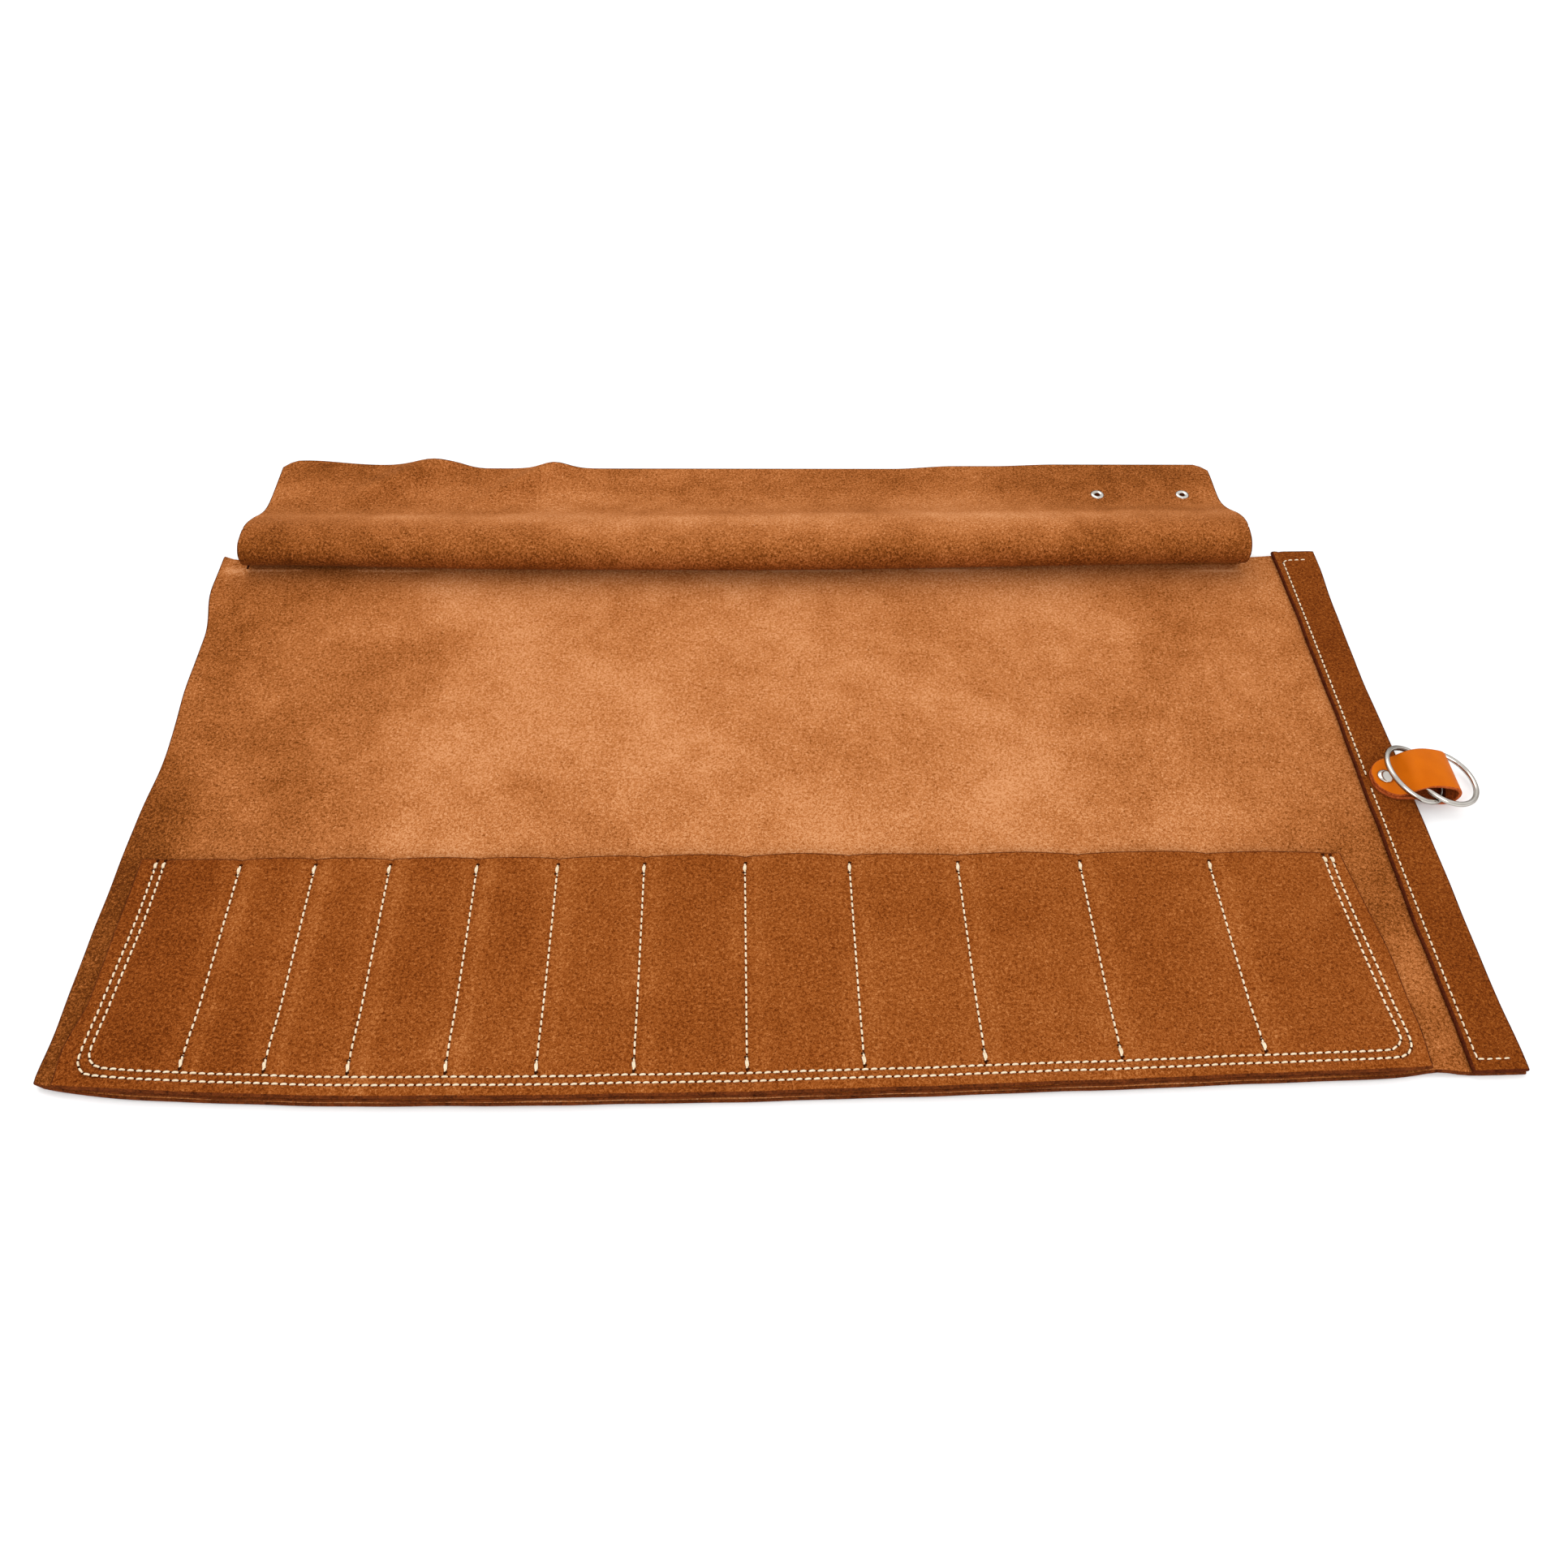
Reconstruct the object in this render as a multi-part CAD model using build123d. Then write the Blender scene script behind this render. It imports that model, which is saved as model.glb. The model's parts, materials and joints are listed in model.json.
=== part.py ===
from build123d import *
from math import cos, pi, radians, sin, tan
import os

# Suede tool roll lying open. Millimetres, +Z up, the roll's length along X, its depth along Y.
# The origin is the centre of the main panel's underside, and the flap is on the +Y side.

# ---- driving dimensions: leather -------------------------------------------------------------
LEATHER = 2.2                # panel, pocket sheet, edge strip and flap
WELT = 2.0                   # strip between the panel and the pocket sheet
TAB_LEATHER = 1.7            # smooth leather of the ring tab
STRAP_LEATHER = 1.8

# ---- driving dimensions: panel and pockets ---------------------------------------------------
PANEL_DEPTH = 346.0
NEAR_BOW = 11.0              # how far the near edge bellies out
LEFT_MARGIN = 13.0           # panel left of the pocket sheet
CHANNEL = 20.5               # bare panel between the pocket sheet and the edge strip
STRIP_WIDTH = 25.5
POCKET_DEPTH = 117.5         # pocket sheet, mouth to near corner
POCKETS = [49, 36, 36, 42, 39, 42, 49, 51, 53, 60, 64, 70]   # widths, left to right
DIVIDER_FLAT = 3.0           # pocket sheet pressed flat along each divider seam
MOUTH_RISE = 4.8             # gap under the middle of a pocket's mouth
SEAM_BAND = 12.0             # flat border along the near edge, and width of the welt
SIDE_BAND = 14.0             # flat border at the pocket sheet's two sides
RAMP = 25.0                  # length over which a pocket closes towards its bottom

# ---- driving dimensions: thread --------------------------------------------------------------
THREAD = 0.8
SEAM_EDGE = 8.5              # outer row from the pocket sheet's edge
SEAM_PITCH = 3.6             # between the two rows
STRIP_SEAM_EDGE = 4.7
STRIP_SEAM_RETURN = 14.0

# ---- driving dimensions: flap ----------------------------------------------------------------
FLAP_LEFT = 11.5             # shoulder left of the flap
FLAP_RIGHT = 47.0            # shoulder right of the flap
SHOULDER = 10.0              # depth of the shoulders beside the flap
RISER_HEIGHT = 20.5
RISER_LEAN = 3.0             # the ridge stands this far behind the crease
SLOPE_RUN = 46.0             # from the ridge to where the flap lies flat
FLAP_END = 45.0              # the part that lies flat
FLAP_CORNER = 7.0
HINGE_GAP = 1.0              # soft bend left free at each side of a fold

# ---- driving dimensions: closure strap -------------------------------------------------------
STRAP_LENGTH = 480.0
STRAP_END = 12.0             # from the strap's riveted end to the flap's right edge
STRAP_RIVET_PITCH = 54.0
RIVET_R = 4.0                # rivet cap and back
SHANK_R = 1.5
RIVET_CAP = 0.8              # cap height under the strap and under the panel

# ---- driving dimensions: ring tab ------------------------------------------------------------
TAB_Y = -8.3
TAB_REACH = 41.5             # from the tab's rounded end to the nose of its loop
TAB_INSET = 5.3              # from the strip's left edge to the tab's rounded end
TAB_RIVET = 6.7              # from the tab's rounded end to its rivet
TAB_CAP = 1.2
LOOP = 32.0                  # the tab's loop, from the riveted layers to its nose
RING_R = 17.35               # centreline of a 32 mm ring
RING_WIRE = 2.7
RING_GAP = 0.3               # clearance between the rings, under the tab and under its rivet's cap
RING_PLAY = 7.2              # the tab and the strap are this much narrower than the rings' inside
LEFT_LEAN, RIGHT_LEAN = 22.5, 13.5   # degrees, each ring's left side up
RING_SPAN = 16.5             # from the right ring's left arc to the left ring's right arc

# ---- derived places --------------------------------------------------------------------------
SHEET_W = sum(POCKETS)
PANEL_W = LEFT_MARGIN + SHEET_W + CHANNEL + STRIP_WIDTH
X0, X1 = -PANEL_W / 2, PANEL_W / 2
Y0, Y1 = -PANEL_DEPTH / 2, PANEL_DEPTH / 2
SHEET_X0 = X0 + LEFT_MARGIN
SHEET_X1 = SHEET_X0 + SHEET_W
MOUTH_Y = Y0 + POCKET_DEPTH
FLOOR_Y = Y0 + SEAM_BAND
STRIP_X0 = X1 - STRIP_WIDTH
SHEET_Z = LEATHER + WELT
STRIP_TOP = 2 * LEATHER
LIE_Z = RIVET_CAP + STRAP_LEATHER + 0.2        # underside of the flap where it lies on its strap
FLAP_X0, FLAP_X1 = X0 + FLAP_LEFT, X1 - FLAP_RIGHT
NOTCH_Y = Y1 - SHOULDER
CREASE = (NOTCH_Y + 0.5, LEATHER + 1.6)        # fold axes, as Y and Z
RIDGE = (CREASE[0] + RISER_LEAN, CREASE[1] + RISER_HEIGHT)
KNEE = (RIDGE[0] + SLOPE_RUN, LIE_Z + LEATHER / 2)
FLAP_FAR = KNEE[0] + FLAP_END
TAB_WIDTH = 2 * RING_R - RING_WIRE - RING_PLAY
STRAP_WIDTH = TAB_WIDTH
STRAP_Y = KNEE[0] + STRAP_WIDTH / 2 + 3.0
TAB_X0 = STRIP_X0 + TAB_INSET
TAB_X1 = TAB_X0 + TAB_REACH
TAB_Z = STRIP_TOP + RING_GAP
TAB_TOP = TAB_Z + 2 * TAB_LEATHER
RIVET_X = TAB_X0 + TAB_RIVET
LOW_ARC = (TAB_X1 - 4.8, TAB_Z - 1.9 + RING_WIRE / 2)       # left ring, inside the loop's nose
CROSS_DROP = RING_SPAN / 2 * (tan(radians(LEFT_LEAN)) + tan(radians(RIGHT_LEAN)))
HIGH_ARC = (LOW_ARC[0] - RING_SPAN, LOW_ARC[1] + CROSS_DROP + 1.05 * (RING_WIRE + RING_GAP))
CROWN = HIGH_ARC[1] + RING_WIRE / 2 + 2 * RING_GAP - TAB_Z  # inside height of the loop over TAB_Z


def bow(x):
    """How far the near edge stands out at x: nothing at the corners, most left of the middle."""
    u = min(max((x - X0) / PANEL_W, 0.0), 1.0)
    return NEAR_BOW * sin(pi * u ** 0.6)


def bowed_plate(x0, x1, far, inset, z, thick, spans=8):
    """A flat plate from y = far down to the bowed near edge, kept inset from the panel's edge."""
    xs = [x0 + (x1 - x0) * i / spans for i in range(spans + 1)]
    edge = [Vector(x, Y0 + inset - bow(x), z) for x in xs]
    sides = Polyline(edge[-1], (x1, far, z), (x0, far, z), edge[0])
    return extrude(make_face([Spline(*edge), sides]), thick)


def plate(x0, x1, y0, y1, z, thick):
    """A flat rectangular plate on height z."""
    return Pos((x0 + x1) / 2, (y0 + y1) / 2, z + thick / 2) * Box(x1 - x0, y1 - y0, thick)


def disc(x, y, z, radius, height):
    """An upright cylinder standing on height z."""
    return Pos(x, y, z + height / 2) * Cylinder(radius, height)


def divider_xs():
    """The X of each divider seam between two pockets."""
    return [SHEET_X0 + sum(POCKETS[:i]) for i in range(1, len(POCKETS))]


def main_panel():
    """The back panel, cut back between its two shoulders where the flap begins."""
    panel = bowed_plate(X0, X1, Y1, 0.0, 0.0, LEATHER)
    panel -= plate(FLAP_X0 - 0.5, FLAP_X1 + 0.5, NOTCH_Y, Y1 + 1, -1, LEATHER + 2)
    panel -= disc(RIVET_X, TAB_Y, -1, RIVET_R + 0.05, RIVET_CAP + 1)
    return panel - disc(RIVET_X, TAB_Y, -1, SHANK_R, LEATHER + 2)


def pocket_welt():
    """The strip sewn between the panel and the pocket sheet along the pockets' bottoms."""
    return bowed_plate(SHEET_X0, SHEET_X1, FLOOR_Y, 0.8, LEATHER, WELT)


def pocket_section(y, dip, rise):
    """The sheet cut across all pockets at y: dip is its height at the seams, rise the arches' height."""
    ends = [SHEET_X0] + divider_xs() + [SHEET_X1]
    flat = [SIDE_BAND] + [DIVIDER_FLAT / 2] * (len(POCKETS) - 1) + [SIDE_BAND]

    def run(z):
        edges = [Line((ends[0], y, dip + z), (ends[0] + flat[0], y, dip + z))]
        for i in range(len(POCKETS)):
            a, b = ends[i] + flat[i], ends[i + 1] - flat[i + 1]
            edges.append(Spline((a, y, dip + z), ((a + b) / 2, y, dip + rise + z), (b, y, dip + z)))
            stop = ends[i + 1] + (flat[i + 1] if i < len(POCKETS) - 1 else 0)
            edges.append(Line((b, y, dip + z), (stop, y, dip + z)))
        return edges

    low, high = run(0), run(LEATHER)
    sides = [Line((x, y, dip), (x, y, dip + LEATHER)) for x in (ends[0], ends[-1])]
    return make_face(low + high + sides)


def pocket_front():
    """The pocket sheet: arched open at the mouths, pinned down at each divider, flat on the welt."""
    mouth = pocket_section(MOUTH_Y, LEATHER, MOUTH_RISE)
    body = pocket_section(FLOOR_Y + RAMP, LEATHER, MOUTH_RISE)
    bottom = pocket_section(FLOOR_Y, SHEET_Z, 0.02)
    bays = loft([mouth, body], ruled=True) + loft([body, bottom], ruled=True)
    return bays + bowed_plate(SHEET_X0, SHEET_X1, FLOOR_Y, 1.6, SHEET_Z, LEATHER)


def edge_strip():
    """The reinforcing strip on the panel's right edge."""
    strip = bowed_plate(STRIP_X0, X1, Y1, 0.0, LEATHER, LEATHER)
    return strip - disc(RIVET_X, TAB_Y, 0, SHANK_R, STRIP_TOP + 1)


def thread_down(x, y_top, y_end):
    """A thread that follows the pocket sheet down a seam, from y_top towards the near edge."""
    top, ramp, foot = STRIP_TOP, FLOOR_Y + RAMP, SHEET_Z + LEATHER
    points = [(y_top, top), (ramp, top), (FLOOR_Y, foot), (y_end, foot)]
    lift = [(y, z + THREAD) for y, z in reversed(points)]
    outline = Polyline(*[(x - THREAD / 2, y, z) for y, z in points + lift], close=True)
    return extrude(make_face(outline), THREAD, dir=(1, 0, 0))


def perimeter_seam(inset):
    """One row of the double seam round the left, near and right sides of the pocket sheet."""
    left, right, near = SHEET_X0 + inset, SHEET_X1 - inset, Y0 + inset - NEAR_BOW / 2
    sides = [thread_down(x, MOUTH_Y - 1, near) for x in (left, right)]
    across = plate(left, right, near, near + THREAD, SHEET_Z + LEATHER, THREAD)
    return sides[0] + sides[1] + across


def divider_seams():
    """The seams that part the pockets, one solid each."""
    end = Y0 + SEAM_EDGE + SEAM_PITCH - NEAR_BOW / 2 + 2
    return Compound(children=[Solid(thread_down(x, MOUTH_Y - 3, end).solid().wrapped) for x in divider_xs()])


def strip_seam():
    """The seam along the edge strip's left side, turned in at both ends."""
    x, far, near = STRIP_X0 + STRIP_SEAM_EDGE, Y1 - 7, Y0 + 4
    seam = plate(x, x + THREAD, near, far, STRIP_TOP, THREAD)
    for y in (near, far - THREAD):
        seam += plate(x, x + STRIP_SEAM_RETURN, y, y + THREAD, STRIP_TOP, THREAD)
    under_tab = plate(x - 1, x + 3, TAB_Y - TAB_WIDTH / 2 - 4, TAB_Y + TAB_WIDTH / 2 + 4, STRIP_TOP, 2)
    return seam - under_tab


def folded_plate(start, end, clear_start, clear_end):
    """A flat leather plate between two fold axes given as (y, z), across the flap's width."""
    run = Vector(0, end[0] - start[0], end[1] - start[1])
    along = run.normalized()
    up = Vector(0, -along.Z, along.Y) * (LEATHER / 2)
    a = Vector(FLAP_X0, *start) + along * clear_start
    b = Vector(FLAP_X0, *start) + along * (run.length - clear_end)
    face = make_face(Polyline(a + up, a - up, b - up, b + up, close=True))
    return extrude(face, FLAP_X1 - FLAP_X0, dir=(1, 0, 0))


def flap_riser():
    """The part of the flap that stands up behind the crease."""
    return folded_plate(CREASE, RIDGE, HINGE_GAP, 2 * HINGE_GAP)


def flap_slope():
    """The part that comes down from the ridge to the table."""
    return folded_plate(RIDGE, KNEE, 2 * HINGE_GAP, HINGE_GAP)


def strap_rivet_xs():
    """The two rivets that hold the closure strap, along X."""
    right = FLAP_X1 - STRAP_END - 9.5
    return [right - STRAP_RIVET_PITCH, right]


def flap_end():
    """The part of the flap that lies flat, with its two rounded corners and rivet holes."""
    end = plate(FLAP_X0, FLAP_X1, KNEE[0] + HINGE_GAP, FLAP_FAR, KNEE[1] - LEATHER / 2, LEATHER)
    end = fillet(end.edges().filter_by(Axis.Z).group_by(Axis.Y)[-1], FLAP_CORNER)
    for x in strap_rivet_xs():
        end -= disc(x, STRAP_Y, 0, SHANK_R, 20)
    return end


def closure_strap():
    """The strap under the flap, riveted at its right end and pointed at its free end."""
    x1 = FLAP_X1 - STRAP_END
    strap = plate(x1 - STRAP_LENGTH, x1, STRAP_Y - STRAP_WIDTH / 2, STRAP_Y + STRAP_WIDTH / 2,
                  RIVET_CAP, STRAP_LEATHER)
    upright = strap.edges().filter_by(Axis.Z)
    strap = chamfer(upright.group_by(Axis.X)[0], STRAP_WIDTH / 2 - 4)
    for x in strap_rivet_xs():
        strap -= disc(x, STRAP_Y, 0, SHANK_R, 10)
    return strap


def strap_rivet_caps():
    """The two rivet caps under the strap, each with its shank up through strap and flap."""
    top = KNEE[1] + LEATHER / 2
    rivets = []
    for x in strap_rivet_xs():
        rivet = disc(x, STRAP_Y, 0, RIVET_R, RIVET_CAP) + disc(x, STRAP_Y, RIVET_CAP, SHANK_R, top - RIVET_CAP)
        rivets.append(Solid(rivet.solid().wrapped))
    return Compound(children=rivets)


def strap_rivet_backs():
    """The two open rivet backs on the flap's upper face."""
    top = KNEE[1] + LEATHER / 2
    backs = []
    for x in strap_rivet_xs():
        back = disc(x, STRAP_Y, top, RIVET_R, 0.7) - disc(x, STRAP_Y, top + 0.2, SHANK_R + 0.7, 2)
        backs.append(Solid(back.solid().wrapped))
    return Compound(children=backs)


def ring_tab():
    """The leather tab folded into a loop round both rings, its two layers riveted together."""
    t, z, top, x1, split = TAB_LEATHER, TAB_Z, TAB_TOP, TAB_X1, TAB_X1 - LOOP
    outer = Spline((x1 - 14.5, 0, z), (x1 - 10.5, 0, z - 2.7), (x1 - 4.7, 0, z - 4.5), (x1 - 0.5, 0, z - 1.0),
                   (x1 - 0.4, 0, z + 5.5), (x1 - 5.5, 0, z + CROWN + 0.3), (x1 - 15, 0, z + CROWN + t),
                   (x1 - 23, 0, z + CROWN + t - 0.2), (split + 3.5, 0, top + 2.0), (split, 0, top),
                   tangents=[(1, 0, 0), (-1, 0, 0)])
    base = Polyline((split, 0, top), (TAB_X0, 0, top), (TAB_X0, 0, z), (x1 - 14.5, 0, z))
    loop = Spline((x1 - 14.5, 0, z + t), (x1 - 10.4, 0, z - 0.9), (x1 - 4.8, 0, z - 3.0),
                  (x1 - 2.2, 0, z - 0.4), (x1 - 2.2, 0, z + 4.9), (x1 - 6.4, 0, z + CROWN - 1.3),
                  (x1 - 15, 0, z + CROWN), (x1 - 22, 0, z + CROWN - 0.1), (split + 5.4, 0, top + 0.6),
                  (split + 3.8, 0, z + t + 0.4), tangents=[(1, 0, 0), (-0.3, 0, -1)])
    floor = Polyline((split + 3.8, 0, z + t + 0.4), (split + 3.8, 0, z + t), (x1 - 14.5, 0, z + t))
    band = make_face([outer, base]) - make_face([loop, floor])
    tab = extrude(Pos(0, TAB_Y + TAB_WIDTH / 2, 0) * band, TAB_WIDTH, dir=(0, -1, 0))
    half = TAB_WIDTH / 2
    plan = plate(TAB_X0 + half, x1 + 5, TAB_Y - half, TAB_Y + half, -5, 40)
    plan += disc(TAB_X0 + half, TAB_Y, -5, half, 40)
    return (tab & plan) - disc(RIVET_X, TAB_Y, 0, SHANK_R + 0.05, 20)


def tab_rivet_cap():
    """The domed cap over the tab, with the shank that the tab turns on."""
    dome_r = (RIVET_R ** 2 + TAB_CAP ** 2) / (2 * TAB_CAP)
    low = TAB_TOP + RING_GAP
    dome = Pos(RIVET_X, TAB_Y, low + TAB_CAP - dome_r) * Sphere(dome_r)
    dome &= disc(RIVET_X, TAB_Y, low, RIVET_R + 1, TAB_CAP + 1)
    return dome + disc(RIVET_X, TAB_Y, RIVET_CAP, SHANK_R, low - RIVET_CAP)


def tab_rivet_base():
    """The rivet's base, set into the panel's underside."""
    return disc(RIVET_X, TAB_Y, 0, RIVET_R, RIVET_CAP)


def ring(x, y, z, lean):
    """One closed wire ring about its centre, its left side up by lean degrees."""
    return Pos(x, y, z) * Rot(0, lean, 0) * Torus(RING_R, RING_WIRE / 2)


def ring_left():
    """The ring that lies back over the tab, its right arc in the nose of the loop."""
    lean = radians(LEFT_LEAN)
    return ring(LOW_ARC[0] - RING_R * cos(lean), TAB_Y - 1.0, LOW_ARC[1] + RING_R * sin(lean), LEFT_LEAN)


def ring_right():
    """The ring that reaches out over the table, resting on the left ring where they cross."""
    lean = radians(RIGHT_LEAN)
    return ring(HIGH_ARC[0] + RING_R * cos(lean), TAB_Y - 1.4, HIGH_ARC[1] - RING_R * sin(lean), RIGHT_LEAN)


PIECES = {
    "main_panel": main_panel,
    "pocket_welt": pocket_welt,
    "pocket_front": pocket_front,
    "edge_strip": edge_strip,
    "pocket_seam_outer": lambda: perimeter_seam(SEAM_EDGE),
    "pocket_seam_inner": lambda: perimeter_seam(SEAM_EDGE + SEAM_PITCH),
    "divider_seams": divider_seams,
    "strip_seam": strip_seam,
    "flap_riser": flap_riser,
    "flap_slope": flap_slope,
    "flap_end": flap_end,
    "closure_strap": closure_strap,
    "strap_rivet_caps": strap_rivet_caps,
    "strap_rivet_backs": strap_rivet_backs,
    "ring_tab": ring_tab,
    "tab_rivet_cap": tab_rivet_cap,
    "tab_rivet_base": tab_rivet_base,
    "ring_left": ring_left,
    "ring_right": ring_right,
}

os.makedirs("parts", exist_ok=True)
for name, build in PIECES.items():
    export_step(build(), f"parts/{name}.step")
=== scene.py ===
import json
from math import cos, pi, radians, sin

import bpy
import numpy as np
from mathutils import Matrix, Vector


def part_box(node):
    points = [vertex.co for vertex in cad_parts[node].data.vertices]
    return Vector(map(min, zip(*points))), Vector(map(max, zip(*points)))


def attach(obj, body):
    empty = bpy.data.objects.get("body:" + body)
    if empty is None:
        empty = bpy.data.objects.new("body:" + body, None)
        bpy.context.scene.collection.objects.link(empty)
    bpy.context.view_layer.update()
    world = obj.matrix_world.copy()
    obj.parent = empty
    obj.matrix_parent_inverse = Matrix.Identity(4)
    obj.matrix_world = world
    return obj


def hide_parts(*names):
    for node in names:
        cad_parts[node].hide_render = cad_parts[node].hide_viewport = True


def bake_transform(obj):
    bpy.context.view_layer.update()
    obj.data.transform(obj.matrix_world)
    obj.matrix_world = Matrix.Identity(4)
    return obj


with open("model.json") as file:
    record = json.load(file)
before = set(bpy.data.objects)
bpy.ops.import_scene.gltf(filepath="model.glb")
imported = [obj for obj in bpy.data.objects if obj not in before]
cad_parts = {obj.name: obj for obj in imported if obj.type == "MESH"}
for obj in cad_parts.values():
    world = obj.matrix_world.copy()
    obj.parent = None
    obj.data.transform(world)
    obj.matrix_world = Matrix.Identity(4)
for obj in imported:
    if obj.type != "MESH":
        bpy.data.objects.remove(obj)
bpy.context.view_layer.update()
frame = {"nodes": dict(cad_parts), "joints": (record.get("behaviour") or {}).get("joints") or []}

# Suede tool roll lying open on a pale bench. Metres, +Z up, the flap on the +Y side.

# ---- leather and thread ------------------------------------------------------------------------
LEATHER = 0.0022
WELT = 0.0020
STRAP_LEATHER = 0.0018
TAB_LEATHER = 0.0017
THREAD = 0.00050             # radius of the waxed thread
STRIP_THREAD = 0.00041
PITCH = 0.00385              # from one needle hole to the next
STITCH_SHARE = 0.74          # how much of the pitch a stitch spans
SLIT = 0.0035                # from the flap's crease back to its cut from the panel
SHOULDER_GAP = 0.0012        # from the flap's ends to the shoulders beside it
RING_WIRE = 0.0027

# ---- places taken from the frame ---------------------------------------------------------------
panel_low, panel_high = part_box("main_panel")
sheet_low, sheet_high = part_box("pocket_front")
strip_low, strip_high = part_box("edge_strip")
riser_low, riser_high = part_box("flap_riser")
end_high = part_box("flap_end")[1]
strap_low, strap_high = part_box("closure_strap")
tab_low, tab_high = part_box("ring_tab")
AXES = {joint["name"]: joint["pos_m"] for joint in frame["joints"]}
CREASE_Y = AXES["flap_crease"][1]
CORNER_Y = -panel_high.y                 # the panel's near corners
MOUTH_Y = sheet_high.y
CUT_Y = CREASE_Y - SLIT                  # where the flap's first piece joins the panel
FLAP_LEFT, FLAP_RIGHT = riser_low.x, riser_high.x
INNER_LEFT, INNER_RIGHT = FLAP_LEFT + SHOULDER_GAP, FLAP_RIGHT - SHOULDER_GAP
TAB_Y = (tab_low.y + tab_high.y) / 2
TAB_HALF = (tab_high.y - tab_low.y) / 2
RIVET_X = AXES["tab_swivel"][0]


# ---- shape helpers -----------------------------------------------------------------------------
def smooth(t):
    """0 below t = 0, 1 above t = 1 and a soft step between."""
    t = np.clip(t, 0.0, 1.0)
    return t * t * (3 - 2 * t)


def hill(t):
    """A rounded hill of height 1 about t = 0."""
    return np.exp(-t * t)


def waver(s, size):
    """The small unevenness of a hand cut edge along s."""
    return size * (np.sin(s / 0.0137) + 0.6 * np.sin(s / 0.0061 + 1.0) + 0.8 * np.sin(s / 0.041 + 2.0))


def rounded(points, rounds=4):
    """A polygon line with its corners cut again and again until it is a smooth curve."""
    line = np.array(points, float)
    for _ in range(rounds):
        near = 0.75 * line[:-1] + 0.25 * line[1:]
        far = 0.25 * line[:-1] + 0.75 * line[1:]
        line = np.vstack([line[:1], np.stack([near, far], 1).reshape(-1, line.shape[1]), line[-1:]])
    return line


def evenly(line, count):
    """The line again as count points at even distances."""
    run = np.concatenate([[0], np.cumsum(np.linalg.norm(np.diff(line, axis=0), axis=1))])
    at = np.linspace(0, run[-1], count)
    return np.stack([np.interp(at, run, line[:, k]) for k in range(line.shape[1])], 1)


def divider_xs():
    """The X of each divider seam, from the frame's seam node."""
    xs = np.array(sorted(v.co.x for v in frame["nodes"]["divider_seams"].data.vertices))
    groups = np.split(xs, np.where(np.diff(xs) > 0.005)[0] + 1)
    return [float(g.min() + g.max()) / 2 for g in groups]


DIVIDERS = divider_xs()


# ---- where the leather lies --------------------------------------------------------------------
def ground(x, y):
    """Height of the panel's underside: faint waves, dead flat under the ring tab."""
    wave = 2 + np.sin(x / 0.055 + y / 0.09) + np.sin(x / 0.031 - y / 0.047 + 1.3)
    calm = 1 - smooth((x - 0.24) / 0.05)
    return 0.0002 * wave * calm


def near_edge(x):
    """Y of the panel's near edge, bellied out left of the middle."""
    u = np.clip((x - panel_low.x) / (panel_high.x - panel_low.x), 0, 1)
    belly = (CORNER_Y - panel_low.y) * np.sin(pi * u ** 0.6)
    return CORNER_Y - belly + 0.0015 * hill((x - 0.284) / 0.012) + waver(x, 0.00012)


def left_edge(y):
    """X of the panel's left edge: it flares towards the flap and draws in at the middle."""
    flare = -0.0065 * smooth((y - 0.10) / 0.045) + 0.0028 * hill((y - 0.012) / 0.035)
    return panel_low.x + 0.0015 + flare + waver(y, 0.00015)


def right_edge(y):
    """X of the panel's right edge."""
    flare = 0.0012 * smooth((-0.14 - y) / 0.03) + 0.0015 * smooth((y - 0.12) / 0.04)
    return panel_high.x - 0.0018 - 0.001 * hill((y - 0.065) / 0.05) + flare + waver(y, 0.00012)


def far_edge(x):
    """Y of the panel's far edge: the two shoulders beside the flap, cut back between them."""
    left = panel_high.y - 0.005 * smooth((x - left_edge(0.17)) / 0.013)
    right = panel_high.y - 0.002 + 0.003 * smooth((x - 0.28) / 0.04)
    inside = (x > INNER_LEFT) & (x < INNER_RIGHT)
    return np.where(inside, CUT_Y, np.where(x < 0, left, right) + waver(x, 0.0001))


def seam_groove(x, y):
    """How far the thread pulls the pocket sheet down along its seams, from 0 to 1."""
    pull = np.zeros_like(x)
    for divider in DIVIDERS:
        pull = np.maximum(pull, hill((x - divider_line(divider, y)) / 0.0013))
    from_edge = y - near_edge(x)
    for row in (OUTER_ROW, INNER_ROW):
        inside = (x > sheet_low.x + row.side) & (x < sheet_high.x - row.side)
        pull = np.maximum(pull, inside * hill((from_edge - row.near) / 0.0012))
        for line in (row.left(y), row.right(y)):
            pull = np.maximum(pull, hill((x - line) / 0.0012))
    return pull


def divider_line(x, y):
    """X of a divider seam at y: each leans a little to the right on its way down."""
    return x - 0.0006 + 0.0012 * (MOUTH_Y - y) / (MOUTH_Y - CORNER_Y)


class SeamRow:
    """One of the two rows of stitches round the pocket sheet."""

    def __init__(self, side, near):
        self.side = side          # from the sheet's left and right edge
        self.near = near          # from the panel's near edge

    def left(self, y):
        return sheet_low.x + self.side - 0.0025 * smooth((-0.08 - y) / 0.07)

    def right(self, y):
        return sheet_high.x - self.side - 0.0012 + 0.0055 * smooth((MOUTH_Y - y) / 0.11)


OUTER_ROW = SeamRow(0.0075, 0.0062)
INNER_ROW = SeamRow(0.0113, 0.0100)


def sheet_left(y):
    """X of the pocket sheet's left edge."""
    return sheet_low.x - 0.003 * smooth((-0.13 - y) / 0.03) + waver(y, 0.0001)


def sheet_right(y):
    """X of the pocket sheet's right edge, drawn in at the mouth."""
    return sheet_high.x - 0.0045 + 0.0075 * smooth((MOUTH_Y + 0.01 - y) / 0.08) + waver(y, 0.0001)


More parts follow.
